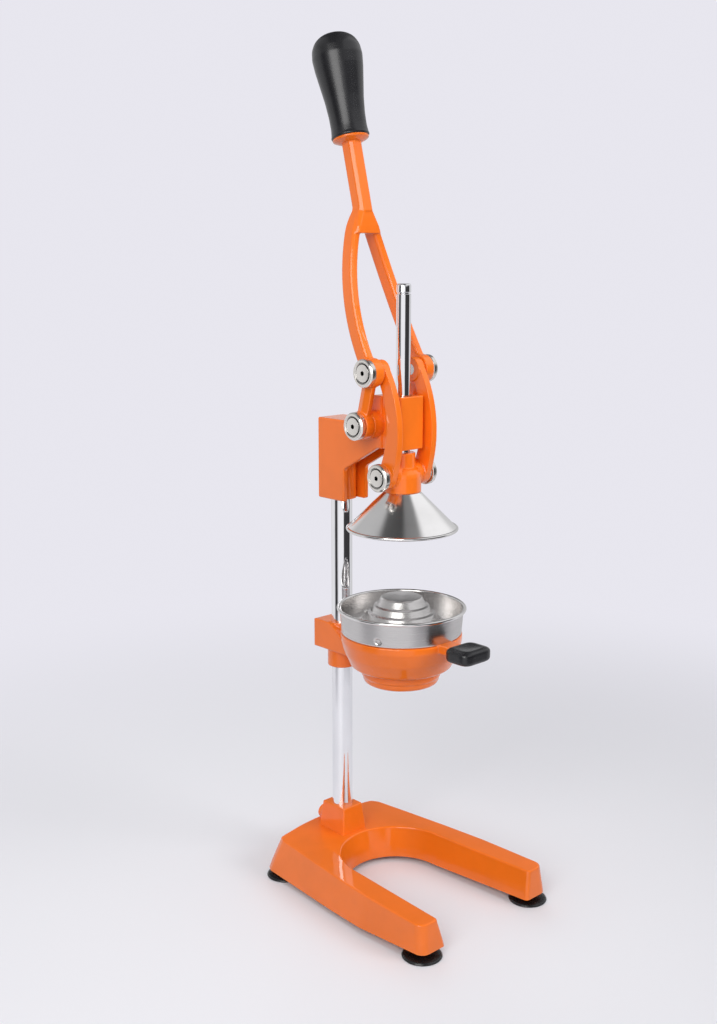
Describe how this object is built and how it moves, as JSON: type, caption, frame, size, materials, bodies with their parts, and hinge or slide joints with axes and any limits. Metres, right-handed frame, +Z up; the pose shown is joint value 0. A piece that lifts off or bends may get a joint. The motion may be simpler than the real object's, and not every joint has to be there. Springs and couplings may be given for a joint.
{
  "type": "lever citrus juice press",
  "caption": "Upright lever juice press: U-shaped base with suction feet, column, head with forked lever and bowed links, press cone, strainer cup with stepped reamer, bowl holder with tab grip.",
  "frame": {"origin": "on the table under the middle of the object's bounding box", "axes": "+Z up along the column; -Y to the front, where the spout, the tab grip and the open end of the base are; +X to the right seen from the front"},
  "size_m": [0.179, 0.2362, 0.7884],
  "materials": {
    "orange_enamel": "gloss orange stoving enamel on cast metal, slightly rippled",
    "chrome": "mirror chrome plating",
    "satin_steel": "spun and satin-polished stainless sheet",
    "bright_steel": "bright turned steel",
    "black_plastic": "satin black moulded plastic",
    "black_rubber": "dull black rubber"
  },
  "bodies": {
    "frame": {"base_casting": "orange_enamel", "base_screw": "bright_steel", "column": "chrome", "foot_front_left": "black_rubber", "foot_front_right": "black_rubber", "foot_rear_left": "black_rubber", "foot_rear_right": "black_rubber", "stud_front_left": "bright_steel", "stud_front_right": "bright_steel", "stud_rear_left": "bright_steel", "stud_rear_right": "bright_steel", "head_casting": "orange_enamel", "head_screw_upper": "bright_steel", "head_screw_lower": "bright_steel", "guide_bush": "bright_steel", "fulcrum_axle": "bright_steel", "fulcrum_cap_left": "chrome", "fulcrum_cap_right": "chrome", "strainer_cup": "satin_steel", "reamer": "satin_steel", "holder_casting": "orange_enamel", "holder_screw": "bright_steel", "holder_grip": "black_plastic"},
    "lever": {"lever_fork": "orange_enamel", "lever_grip": "black_plastic", "top_pin_left": "bright_steel", "top_pin_right": "bright_steel", "top_cap_left": "chrome", "top_cap_right": "chrome"},
    "left_link": {"link_left": "orange_enamel", "link_washer_left": "bright_steel", "link_pin_left": "bright_steel", "link_cap_left": "chrome"},
    "right_link": {"link_right": "orange_enamel", "link_washer_right": "bright_steel", "link_pin_right": "bright_steel", "link_cap_right": "chrome"},
    "press": {"press_hub": "orange_enamel", "hub_pin": "bright_steel", "press_rod": "chrome", "press_cone": "satin_steel", "cone_screw": "bright_steel"}
  },
  "joints": [
    {"name": "lever_pivot", "type": "hinge", "parent": "frame", "child": "lever", "pos_m": [0, 0.02025, 0.4475], "axis": [1, 0, 0], "range_deg": [0, 120]},
    {"name": "press_slide", "type": "slide", "parent": "frame", "child": "press", "axis": [0, 0, -1], "range_m": [0, 0.08124]},
    {"name": "left_link_pivot", "type": "hinge", "parent": "lever", "child": "left_link", "pos_m": [0, 0.00815, 0.4951], "axis": [1, 0, 0], "range_deg": [-105.76, 0]},
    {"name": "right_link_pivot", "type": "hinge", "parent": "lever", "child": "right_link", "pos_m": [0, 0.00815, 0.4951], "axis": [1, 0, 0], "range_deg": [-105.76, 0]}
  ],
  "couplings": [
    {"joint": "press_slide", "follows": "lever_pivot", "m_per_rad": 0.038767},
    {"joint": "left_link_pivot", "follows": "lever_pivot", "ratio": -0.88095},
    {"joint": "right_link_pivot", "follows": "lever_pivot", "ratio": -0.88095}
  ]
}
